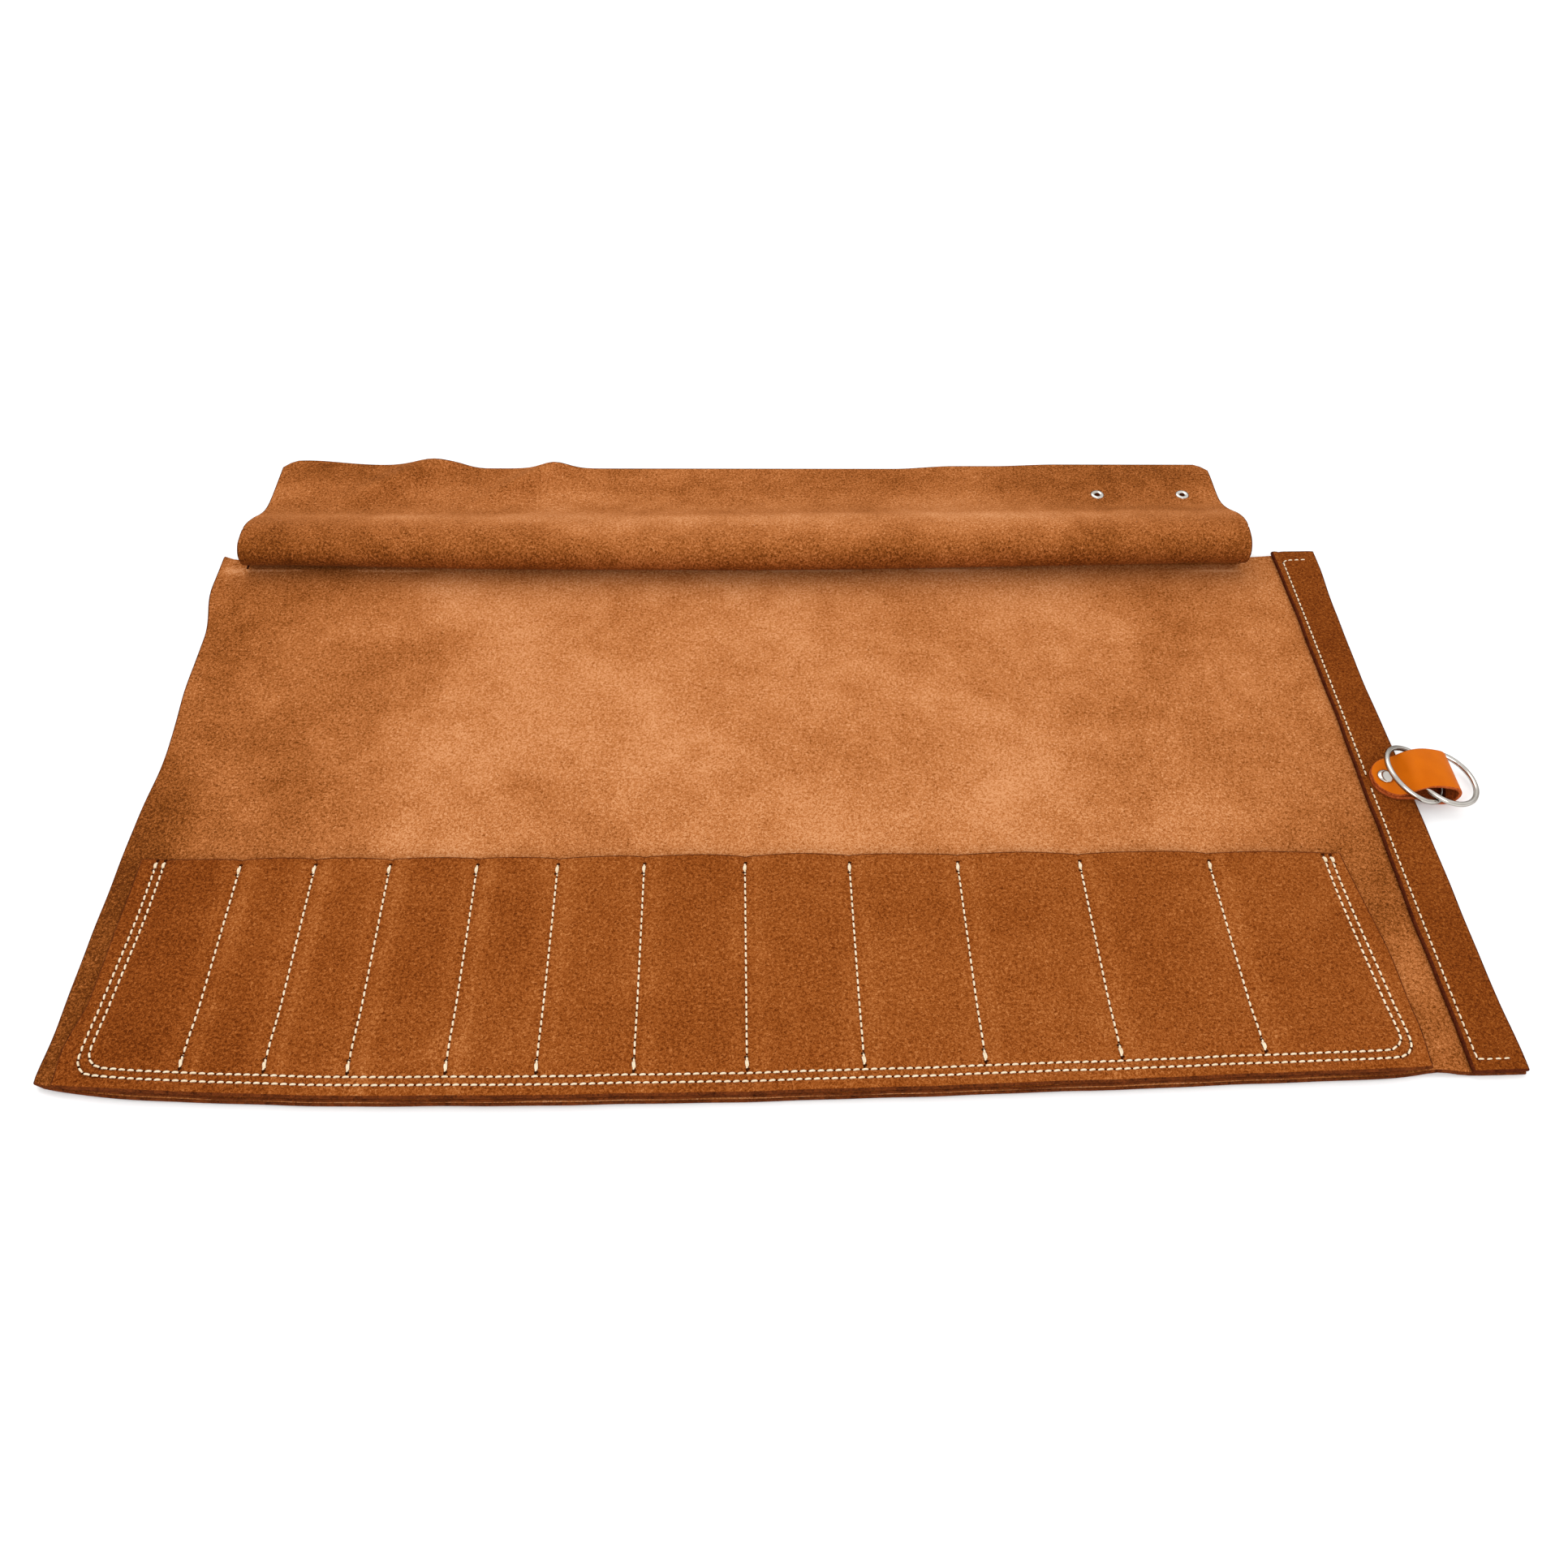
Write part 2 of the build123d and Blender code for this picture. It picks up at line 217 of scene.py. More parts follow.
def sheet_mouth(x):
    """Y of the pocket sheet's open edge."""
    return MOUTH_Y - 0.0015 * smooth((x + 0.312) / 0.03) * smooth((0.1 - x) / 0.4) + waver(x, 0.0002)


def arch(x):
    """0 at each seam and 1 in the middle of each pocket."""
    edges = np.array([sheet_low.x + 0.013] + DIVIDERS + [sheet_high.x - 0.011])
    at = np.clip(np.searchsorted(edges, x) - 1, 0, len(edges) - 2)
    u = np.clip((x - edges[at]) / (edges[at + 1] - edges[at]), 0, 1)
    return np.sin(pi * u) ** 0.8


def sheet_height(x, y):
    """Height of the middle of the pocket sheet's thickness."""
    floor_y = CORNER_Y + 0.012
    step = WELT * smooth((floor_y + 0.025 - y) / 0.025)
    rise = 0.0013 * arch(x) * smooth((y - floor_y) / 0.03)
    lift = 0.0006 * smooth((y - MOUTH_Y + 0.012) / 0.012)
    pull = 0.00045 * seam_groove(x, y)
    return ground(x, y) + 1.5 * LEATHER + 0.0004 + step + rise + lift * arch(x) - pull


# ---- mesh helpers ------------------------------------------------------------------------------
def mesh_object(name, verts, faces, materials):
    """A new smooth shaded object at the origin."""
    mesh = bpy.data.meshes.new(name)
    mesh.from_pydata([tuple(v) for v in verts], [], faces)
    mesh.update()
    mesh.shade_smooth()
    for material in materials:
        mesh.materials.append(material)
    made = bpy.data.objects.new(name, mesh)
    bpy.context.scene.collection.objects.link(made)
    return made


def leather(name, middle, place, thick, materials, rub=None, flat_rows=(), edge=0.4):
    """A closed sheet of leather. middle is a grid of points in the middle of its thickness, place
    their X and Y on the hide, the tone grid how far the nap is brushed up, with any painted shade and
    painted highlight added in. flat_rows are the grid's first or last row (0 or -1) where the sheet is
    cut square to join another. materials are the upper face's, the cut edge's and the lower face's."""
    rows, cols = middle.shape[:2]
    across, along = np.gradient(middle, axis=1), np.gradient(middle, axis=0)
    normal = np.cross(across, along)
    normal /= np.linalg.norm(normal, axis=2)[:, :, None]
    index = np.arange(rows * cols).reshape(rows, cols)
    loop = np.concatenate([index[0, :-1], index[:-1, -1], index[-1, :0:-1], index[:0:-1, 0]])
    flat = middle.reshape(-1, 3)
    up = normal.reshape(-1, 3)
    ring = flat[loop]
    forward = np.roll(ring, -1, 0) - np.roll(ring, 1, 0)
    out = np.cross(forward, up[loop])
    out /= np.maximum(np.linalg.norm(out, axis=1), 1e-9)[:, None]
    joined = [index[row] for row in flat_rows] or [[]]
    square = np.isin(loop, np.concatenate(joined))
    bulge = np.where(square, 0.0, 1.0)[:, None]
    verts = [flat + up * thick / 2, flat - up * thick / 2]
    hide = np.concatenate([place.reshape(-1, 2), np.zeros((rows * cols, 1))], 1)
    places = [hide + [0, 0, thick / 2], hide - [0, 0, thick / 2]]
    for turn in (52, 20, -20, -52):
        side = edge * thick * cos(radians(turn)) * bulge
        height = thick / 2 * sin(radians(turn)) * 1.15
        verts.append(ring + out * side + up[loop] * height)
        places.append(hide[loop] + np.concatenate([out[:, :2] * side, np.full((len(loop), 1), height)], 1))
    a, b, c, d = index[:-1, :-1], index[:-1, 1:], index[1:, 1:], index[1:, :-1]
    upper = np.stack([a, b, c, d], -1).reshape(-1, 4)
    lower = upper[:, ::-1] + rows * cols
    bands = [loop] + [2 * rows * cols + k * len(loop) + np.arange(len(loop)) for k in range(4)]
    bands.append(loop + rows * cols)
    rim = [np.stack([p, q, np.roll(q, -1), np.roll(p, -1)], -1) for p, q in zip(bands[:-1], bands[1:])]
    faces = np.concatenate([upper, lower] + rim)
    made = mesh_object(name, np.concatenate(verts), faces.tolist(), materials)
    rim_count = len(faces) - 2 * len(upper)
    slots = np.concatenate([np.zeros(len(upper)), np.full(len(lower), 2), np.ones(rim_count)])
    made.data.polygons.foreach_set("material_index", slots.astype(np.int32))
    hide_place = made.data.attributes.new("place", "FLOAT_VECTOR", "POINT")
    hide_place.data.foreach_set("vector", np.concatenate(places).astype(np.float32).ravel())
    # The tone, the nap with any painted shade and painted highlight, goes to the suede as an attribute.
    tone = np.full(rows * cols, 0.5) if rub is None else rub.reshape(-1)
    tones = np.concatenate([tone, tone] + [tone[loop]] * 4)
    made.data.attributes.new("rub", "FLOAT", "POINT").data.foreach_set("value", tones.astype(np.float32))
    if flat_rows:
        keep_square(made.data, bands, square)
    return made


def keep_square(mesh, bands, square):
    """Marks the edges of a square cut sharp, so that two pieces that meet there shade as one."""
    pairs = set()
    for band in (bands[0], bands[-1]):
        for k in range(len(band)):
            if square[k] and square[(k + 1) % len(band)]:
                pairs.add(frozenset((int(band[k]), int(band[(k + 1) % len(band)]))))
    sharp = mesh.attributes.get("sharp_edge") or mesh.attributes.new("sharp_edge", "BOOLEAN", "EDGE")
    sharp.data.foreach_set("value", [frozenset(e.vertices) in pairs for e in mesh.edges])


# ---- materials ---------------------------------------------------------------------------------
def colour(red, green, blue):
    """A screen colour from 0 to 255 as the linear colour that a shader takes."""
    shares = [c / 255 for c in (red, green, blue)]
    return tuple(c / 12.92 if c <= 10 / 255 else ((c + 0.055) / 1.055) ** 2.4 for c in shares) + (1,)


def node(tree, kind, inputs=None, **settings):
    """Adds a node and sets or links its inputs, by name or number."""
    made = tree.nodes.new(kind)
    for key, value in settings.items():
        setattr(made, key, value)
    for key, value in (inputs or {}).items():
        if isinstance(value, bpy.types.NodeSocket):
            tree.links.new(value, made.inputs[key])
        else:
            made.inputs[key].default_value = value
    return made


def maths(tree, operation, *values):
    """A Math node's result for values that are numbers or sockets."""
    return node(tree, "ShaderNodeMath", dict(enumerate(values)), operation=operation).outputs[0]


def attribute(tree, name, output="Fac"):
    return node(tree, "ShaderNodeAttribute", attribute_name=name).outputs[output]


def noise(tree, place, scale, detail=2.0, distortion=0.0):
    inputs = {"Vector": place, "Scale": scale, "Detail": detail, "Distortion": distortion}
    return node(tree, "ShaderNodeTexNoise", inputs).outputs["Fac"]


def weighed(tree, start, parts):
    """start plus the sum of (part - 0.5) * weight."""
    total = start
    for part, weight in parts:
        centred = maths(tree, "SUBTRACT", part, 0.5)
        total = maths(tree, "MULTIPLY_ADD", centred, weight, total)
    return total


def ramp(tree, value, stops):
    """Colours between stops given as (position, colour)."""
    made = node(tree, "ShaderNodeValToRGB", {0: value})
    bands = made.color_ramp.elements
    while len(bands) < len(stops):
        bands.new(0.5)
    for band, (position, shade) in zip(bands, stops):
        band.position = position
        band.color = shade
    return made.outputs[0]


def finish_material(name):
    """A new material, its tree and its shader."""
    made = bpy.data.materials.new(name)
    made.use_nodes = True
    return made, made.node_tree, made.node_tree.nodes["Principled BSDF"]


def set_sockets(shader, values):
    for key, value in values.items():
        shader.inputs[key].default_value = value


def bump(tree, shader, height, distance, strength=1.0):
    inputs = {"Height": height, "Distance": distance, "Strength": strength}
    made = node(tree, "ShaderNodeBump", inputs)
    tree.links.new(made.outputs["Normal"], shader.inputs["Normal"])


def suede(name, shades, cloud=1.0):
    """Brushed split leather: clouds of lifted and flattened nap over short curling fibres. shades
    are five colours, from nap brushed flat or in painted shade to nap brushed up or in painted light."""
    made, tree, shader = finish_material(name)
    place = attribute(tree, "place", "Vector")
    clouds = noise(tree, place, 13, 4, 0.4)
    patches = noise(tree, place, 60, 3, 0.3)
    fibres = noise(tree, place, 820, 2.0, 0.8)
    pores = noise(tree, place, 1900, 1)
    parts = [(clouds, 0.7 * cloud), (patches, 0.35 * cloud), (fibres, 1.45), (pores, 0.9)]
    # The mesh's tone, the nap with any painted shade and painted highlight, picks among the shades.
    tone = weighed(tree, attribute(tree, "rub"), parts)
    shade = ramp(tree, tone, [(0.25 * k, colour(*shade)) for k, shade in enumerate(shades)])
    tree.links.new(shade, shader.inputs["Base Color"])
    height = weighed(tree, fibres, [(pores, 0.5), (patches, 0.6)])
    bump(tree, shader, height, 0.0006, 0.55)
    set_sockets(shader, {"Roughness": 0.95, "Specular IOR Level": 0.02, "Sheen Weight": 0.06,
                         "Sheen Roughness": 0.45, "Sheen Tint": colour(255, 180, 110)})
    return made


def cut_edge(name, deep, body):
    """The raw edge of a hide: packed fibres in dark and light layers."""
    made, tree, shader = finish_material(name)
    place = attribute(tree, "place", "Vector")
    fibres = noise(tree, place, 900, 3, 1.0)
    streaks = noise(tree, place, 140, 2)
    tone = weighed(tree, 0.5, [(fibres, 1.6), (streaks, 0.8)])
    shade = ramp(tree, tone, [(0.1, deep), (0.9, body)])
    tree.links.new(shade, shader.inputs["Base Color"])
    bump(tree, shader, fibres, 0.0004, 0.7)
    set_sockets(shader, {"Roughness": 0.95, "Specular IOR Level": 0.02})
    return made


def smooth_hide(name):
    """Vegetable tanned leather with a smooth orange grain and fine pores."""
    made, tree, shader = finish_material(name)
    place = attribute(tree, "place", "Vector")
    clouds = noise(tree, place, 60, 3)
    pores = node(tree, "ShaderNodeTexVoronoi", {"Vector": place, "Scale": 1900}).outputs["Distance"]
    tone = weighed(tree, 0.5, [(clouds, 0.9), (pores, 0.12)])
    shade = ramp(tree, tone, [(0.1, colour(176, 82, 0)), (0.9, colour(204, 104, 0))])
    tree.links.new(shade, shader.inputs["Base Color"])
    bump(tree, shader, weighed(tree, pores, [(clouds, 1.0)]), 0.00012, 0.25)
    set_sockets(shader, {"Roughness": 0.55, "Specular IOR Level": 0.06})
    return made


def waxed_thread(name):
    """Cream thread, laid up from twisted strands."""
    made, tree, shader = finish_material(name)
    around = attribute(tree, "around")
    along = attribute(tree, "along")
    strand_count, lay = 2, 2600.0
    turn = maths(tree, "MULTIPLY", along, lay)
    twist = maths(tree, "MULTIPLY_ADD", around, 2 * pi * strand_count, turn)
    strands = maths(tree, "SINE", twist)
    place = node(tree, "ShaderNodeTexCoord").outputs["Object"]
    wear = noise(tree, place, 260, 2)
    tone = weighed(tree, 0.55, [(wear, 0.9)])
    shade = ramp(tree, tone, [(0.1, colour(206, 180, 140)), (0.9, colour(238, 222, 194))])
    tree.links.new(shade, shader.inputs["Base Color"])
    bump(tree, shader, strands, 0.00006, 0.6)
    set_sockets(shader, {"Roughness": 0.6, "Specular IOR Level": 0.3, "Sheen Weight": 0.15})
    return made


def pit_shade(name):
    """Painted shade for the pit where the thread goes down."""
    made, tree, shader = finish_material(name)
    place = node(tree, "ShaderNodeTexCoord").outputs["Object"]
    depth = noise(tree, place, 700, 2)
    shade = ramp(tree, depth, [(0.2, colour(34, 12, 4)), (0.8, colour(66, 27, 9))])
    tree.links.new(shade, shader.inputs["Base Color"])
    set_sockets(shader, {"Roughness": 1.0, "Specular IOR Level": 0.0})
    return made


def nickel(name):
    """Bright nickel plate with fine handling marks."""
    made, tree, shader = finish_material(name)
    place = node(tree, "ShaderNodeTexCoord").outputs["Object"]
    marks = noise(tree, place, 420, 3, 0.5)
    clouds = noise(tree, place, 90, 2)
    shade = ramp(tree, clouds, [(0.2, colour(182, 176, 168)), (0.8, colour(214, 209, 202))])
    tree.links.new(shade, shader.inputs["Base Color"])
    rough = node(tree, "ShaderNodeMapRange", {0: marks, 3: 0.10, 4: 0.22}).outputs[0]
    tree.links.new(rough, shader.inputs["Roughness"])
    bump(tree, shader, marks, 0.00003, 0.2)
    set_sockets(shader, {"Metallic": 1.0, "Specular Tint": colour(86, 76, 68)})
    return made


def bench_paint(name):
    """The plain pale floor."""
    made, _, shader = finish_material(name)
    set_sockets(shader, {"Base Color": (0.93, 0.93, 0.93, 1), "Roughness": 0.9, "Specular IOR Level": 0.0})
    return made


PANEL_SUEDE = suede(
    "panel suede", [(80, 37, 8), (119, 63, 20), (153, 88, 42), (178, 111, 62), (200, 139, 93)])
POCKET_SUEDE = suede(
    "pocket suede", [(75, 29, 3), (102, 46, 9), (130, 66, 21), (152, 86, 38), (178, 114, 64)], 0.6)
STRIP_SUEDE = suede(
    "strip suede", [(60, 21, 3), (89, 38, 6), (114, 54, 13), (136, 73, 25), (162, 98, 47)], 0.5)
RAW_EDGE = cut_edge("raw edge", colour(48, 18, 6), colour(112, 54, 22))
# The strip's cut edge is darker than the others: painted shade for the shadow line along its proud edge.
SHADED_STRIP_EDGE = cut_edge("strip edge", colour(52, 18, 8), colour(92, 40, 18))
FLESH = suede(
    "flesh side", [(83, 42, 16), (118, 67, 33), (149, 90, 49), (172, 114, 69), (195, 142, 96)])
TAB_GRAIN = smooth_hide("tab grain")
TAB_EDGE = cut_edge("tab edge", colour(120, 44, 14), colour(196, 100, 50))
TAB_FLESH = cut_edge("tab flesh", colour(96, 34, 10), colour(176, 84, 34))
CREAM_THREAD = waxed_thread("cream thread")
PIT_SHADE = pit_shade("needle pit")
NICKEL = nickel("bright nickel")
PANEL_FACES = [PANEL_SUEDE, RAW_EDGE, FLESH]
POCKET_FACES = [POCKET_SUEDE, RAW_EDGE, FLESH]


# ---- the leather pieces ------------------------------------------------------------------------
def panel_nap_and_shade(x, y):
    """How far the nap is brushed up over the panel, with painted shade: palest in the middle and darker
    towards both ends, partly the nap and partly painted shade, with a worn line along the flap's cut."""
    # left, right and low_left darken the ends and the near left corner: partly nap, partly painted shade.
    left = 0.24 * smooth((-0.15 - x) / 0.11) + 0.08 * smooth((-0.26 - x) / 0.06)
    right = 0.14 * smooth((x - 0.12) / 0.12) + 0.17 * smooth((x - 0.21) / 0.06) * smooth((0.06 - y) / 0.12)
    low_left = 0.27 * smooth((-0.285 - x) / 0.03) * smooth((0.03 - y) / 0.09)
    worn = 0.45 * hill((y - CUT_Y + 0.0015) / 0.0009) * smooth(np.sin(x / 0.013) + np.sin(x / 0.047 + 1.0))
    return 0.73 - left - right - low_left + worn


def back_panel():
    """The panel that everything is sewn to."""
    step = 0.0003
    xs = np.linspace(panel_low.x, panel_high.x, 131)
    sides = [INNER_LEFT - step, INNER_LEFT + step, INNER_RIGHT - step, INNER_RIGHT + step]
    xs = np.array(sorted([x for x in xs if min(abs(x - s) for s in sides) > 0.0015] + sides))
    rows = np.concatenate([np.linspace(0, 0.04, 7)[:-1], np.linspace(0.04, 0.985, 68),
                           [0.991, 0.994, 0.997, 1]])
    x, v = np.meshgrid(xs, rows)
    y = near_edge(x) + v * (far_edge(x) - near_edge(x))
    left = np.exp(-(x - panel_low.x) / 0.02) * (left_edge(y) - panel_low.x)
    right = np.exp(-(panel_high.x - x) / 0.02) * (right_edge(y) - panel_high.x)
    corner = 0.0016 * hill((x - panel_low.x) / 0.02) * hill((y - CORNER_Y) / 0.016)
    between = 0.0016 * hill((x - 0.287) / 0.008) * smooth((-0.135 - y) / 0.03)
    z = ground(x, y) + LEATHER / 2 + corner + between
    middle = np.stack([x + left + right, y, z], -1)
    made = leather("back_panel", middle, middle[:, :, :2], LEATHER, PANEL_FACES, panel_nap_and_shade(x, y), (-1,))
    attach(made, "roll")
    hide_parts("main_panel")


def pocket_welt():
    """The strip of leather sewn in under the pocket sheet along its near edge."""
    xs = np.linspace(sheet_low.x - 0.0015, sheet_high.x - 0.008, 120)
    x, v = np.meshgrid(xs, np.linspace(0, 1, 8))
    near = near_edge(x) + 0.0009 + waver(x + 0.3, 0.0002)
    y = near + v * (CORNER_Y + 0.012 - near)
    z = ground(x, y) + LEATHER + WELT / 2
    middle = np.stack([x, y, z], -1)
    made = leather("pocket_welt_strip", middle, middle[:, :, :2] + 0.7, WELT - 0.0001, POCKET_FACES)
    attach(made, "roll")
    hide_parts("pocket_welt")


def sheet_columns():
    """X places for the pocket sheet's grid, close together where a seam pulls it down."""
    fine = np.array([-6, -4, -2.6, -1.7, -1.1, -0.5, 0, 0.5, 1.1, 1.7, 2.6, 4, 6]) * 0.001
    rows = (OUTER_ROW, INNER_ROW)
    seams = DIVIDERS + [row.left(-0.1) for row in rows] + [row.right(-0.1) for row in rows]
    close = np.concatenate([s + fine for s in seams])
    wide = np.linspace(sheet_low.x, sheet_high.x, 130)
    xs = np.sort(np.concatenate([close, wide]))
    closest = 0.00042
    kept = [sheet_low.x]
    for x in xs[(xs > sheet_low.x) & (xs < sheet_high.x)]:
        if x - kept[-1] > closest:
            kept.append(x)
    return np.array(kept + [sheet_high.x])


def pocket_sheet():
    """The leather that makes the twelve pockets."""
    near_rows = np.array([0, 0.8, 1.8, 2.8, 3.6, 4.3, 5.0, 5.6, 6.3, 7.0, 7.6, 8.3, 8.9, 9.5, 10.2,
                          11, 12, 13.5, 16]) * 0.001
    far_rows = 27
    x, k = np.meshgrid(sheet_columns(), np.arange(len(near_rows) + far_rows))
    near = near_edge(x) + 0.0012 - 0.0004 * smooth((-0.28 - x) / 0.03)
    fixed = near + np.interp(k, np.arange(len(near_rows)), near_rows)
    rest = (k - len(near_rows) + 1) / far_rows
    start = near + near_rows[-1]
    y = np.where(k < len(near_rows), fixed, start + rest * (sheet_mouth(x) - start))
    left = np.exp(-(x - sheet_low.x) / 0.006) * (sheet_left(y) - sheet_low.x)
    right = np.exp(-(sheet_high.x - x) / 0.006) * (sheet_right(y) - sheet_high.x)
    x = x + left + right
    tuck = 0.0014 * smooth((-0.285 - x) / 0.03) * smooth((-0.16 - y) / 0.012)
    end = 0.0014 * smooth((x - 0.262) / 0.02) * smooth((-0.15 - y) / 0.02)
    z = sheet_height(x, y) - tuck - end
    middle = np.stack([x, y, z], -1)
    place = middle[:, :, :2] + [1.3, 0.9]
    made = leather("pocket_sheet", middle, place, LEATHER, POCKET_FACES, pocket_rub(x, y))
    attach(made, "roll")
    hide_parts("pocket_front")


def pocket_rub(x, y):
    """Pale bands where the nap is brushed up beside each divider, darker in the left pockets."""
    band = np.zeros_like(x)
    for k, divider in enumerate(DIVIDERS):
        line = divider_line(divider, y)
        strong = 0.16 if k < 4 else 0.09
        band += strong * hill((x - line - 0.006) / 0.0035) + 0.6 * strong * hill((x - line + 0.005) / 0.003)
    shade = 0.50 - 0.17 * smooth((-0.20 - x) / 0.09) + 0.05 * hill((x - 0.11) / 0.09)
    mouth = -0.05 * smooth((y - MOUTH_Y + 0.006) / 0.006)
    return shade + band + mouth


def edge_strip():
    """The strip sewn along the panel's right edge, its inner edge standing a little proud."""
    across = np.concatenate([np.linspace(0, 0.3, 9)[:-1], np.linspace(0.3, 1, 10)])
    u, v = np.meshgrid(across, np.linspace(0, 1, 90))
    near = near_edge(np.full_like(u, 0.312))
    y = near + v * (panel_high.y + 0.0005 - near)
    left = strip_low.x + 0.0014 + 0.0006 * np.sin(y / 0.05) + waver(y + 0.5, 0.00022)
    right = right_edge(y) + 0.0003
    x = left + u * (right - left)
    y = y + (u - 0.5) * 0.0006
    proud = 0.0003 * np.exp(-(x - left) / 0.002)
    groove = 0.0004 * hill((x - strip_seam_x(y)) / 0.0012)
    z = ground(x, y) + 1.5 * LEATHER + 0.0001 + proud - groove
    middle = np.stack([x, y, z], -1)
    rub = 0.5 - 0.08 * hill((y - 0.06) / 0.05) + 0.07 * hill((x - left - 0.002) / 0.002)
    made = leather("edge_strip_leather", middle, middle[:, :, :2] + [2.1, 0.3], LEATHER,
                   [STRIP_SUEDE, SHADED_STRIP_EDGE, FLESH], rub)
    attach(made, "roll")
    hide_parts("edge_strip")


def strip_seam_x(y):
    """X of the seam along the edge strip."""
    return strip_low.x + 0.0045 + 0.0006 * np.sin(y / 0.07)


# The flap's section in millimetres, Y and Z of the middle of its thickness, at its left end and at
# its right end.
FLAP_SECTION_LEFT = [
    (0, 1.1), (3.4, 1.1), (5.6, 1.4), (5.6, 3.8), (-0.4, 6.4), (-4.6, 11.0), (-5.2, 17.6), (0.6, 22.3),
    (9.5, 23.2), (18.5, 21.6), (29.5, 16.2), (43, 8.4), (53, 4.9), (66, 4.0), (97, 3.9)]
FLAP_SECTION_RIGHT = [
    (0, 1.1), (3.8, 1.1), (6.4, 1.4), (6.6, 4.2), (1.6, 7.2), (-3.6, 11.6), (-5.0, 19.2), (-1.2, 24.6),
    (6.6, 26.6), (16.0, 26.2), (27, 21.6), (43, 12.6), (55, 8.0), (67, 5.2), (97, 3.9)]


def node_centres(name, height):
    """The middle of each rivet of a node, at the given height."""
    verts = np.array([v.co for v in frame["nodes"][name].data.vertices])
    order = np.sort(verts[:, 0])
    groups = np.split(order, np.where(np.diff(order) > 0.01)[0] + 1)
    middle_y = (verts[:, 1].min() + verts[:, 1].max()) / 2
    return [((g.min() + g.max()) / 2, middle_y, height) for g in groups]


EYELETS = node_centres("strap_rivet_backs", end_high.z)


def flap_grid():
    """The whole flap from the panel to its free end: points, and their place on the hide."""
    rows, cols = 120, 149
    left_end = evenly(rounded(FLAP_SECTION_LEFT), rows) * 0.001
    right_end = evenly(rounded(FLAP_SECTION_RIGHT), rows) * 0.001
    xs = np.linspace(FLAP_LEFT, FLAP_RIGHT, cols)
    share = smooth((xs - FLAP_LEFT) / (FLAP_RIGHT - FLAP_LEFT))[None, :, None]
    section = left_end[:, None, :] * (1 - share) + right_end[:, None, :] * share
    x = np.broadcast_to(xs, (rows, cols)).copy()
    y, z = CUT_Y + section[:, :, 0], section[:, :, 1].copy()
    flat_end = smooth((y - 0.196) / 0.05)
    belly = smooth((z - 0.002) / 0.003) * (1 - smooth((y - 0.16) / 0.03))
    across = np.clip((x - FLAP_LEFT) / (FLAP_RIGHT - FLAP_LEFT), 0, 1)
    y -= belly * 0.0056 * np.sin(pi * across) ** 1.5
    y += flat_end * (0.005 * hill((x + 0.300) / 0.03) + 0.0018 * smooth((x - 0.14) / 0.04))
    y -= flat_end * 0.003 * (smooth((x + 0.205) / 0.02) - smooth((x - 0.075) / 0.04))
    for crest, width, height in ((-0.217, 0.017, 0.0054), (-0.137, 0.012, 0.0052)):
        line = crest - 1.15 * (end_high.y - y)
        z += height * hill((x - line) / width) * smooth((y - 0.203) / 0.045)
    for rivet_x, rivet_y, top in EYELETS:
        z += (top - LEATHER / 2 - z) * hill((x - rivet_x) / 0.03) * hill((y - rivet_y) / 0.016)
    z += 0.0007 * np.sin(x / 0.043 + y / 0.03) * smooth((z - 0.012) / 0.01)
    z += ground(x, y) * (1 - smooth((y - CUT_Y) / 0.004))
    corner = 0.0065
    far = smooth((y - (end_high.y - 0.012)) / 0.012)
    pull = np.minimum(x - FLAP_LEFT, FLAP_RIGHT - x)
    y -= far * corner * 0.9 * smooth(1 - pull / corner)
    steps = np.hypot(np.diff(y, axis=0), np.diff(z, axis=0))
    run = np.concatenate([np.zeros((1, cols)), np.cumsum(steps, 0)])
    middle = np.stack([x, y, z], -1)
    return middle, np.stack([x, CUT_Y + run], -1)


def flap_nap_and_shade(place):
    """Nap and painted light over the flap: as the panel at the cut, painted shade on the near face
    and towards both ends, a painted highlight along the crest, a little darker towards the free end.
    """
    x, run = place[:, :, 0], place[:, :, 1] - CUT_Y
    start = panel_nap_and_shade(x, np.full_like(x, CUT_Y))
    # ends darkens both ends as on the panel, partly painted shade; face is painted shade on the near face;
    # crest is a painted highlight rising to the crest and falling off behind it; rim darkens the free end.
    ends = 0.10 * smooth((-0.20 - x) / 0.09) + 0.09 * smooth((x - 0.16) / 0.09)
    face = 0.22 - 0.7 * ends
    crest = 0.50 * np.clip((run - 0.022) / 0.042, 0, 1) - 0.17 * smooth((run - 0.068) / 0.018)
    rim = 0.10 * smooth((run - 0.108) / 0.014)
    flap = face + crest - 0.5 * ends * smooth((run - 0.04) / 0.02) - rim
    return start + (flap - start) * smooth((run - 0.003) / 0.003)


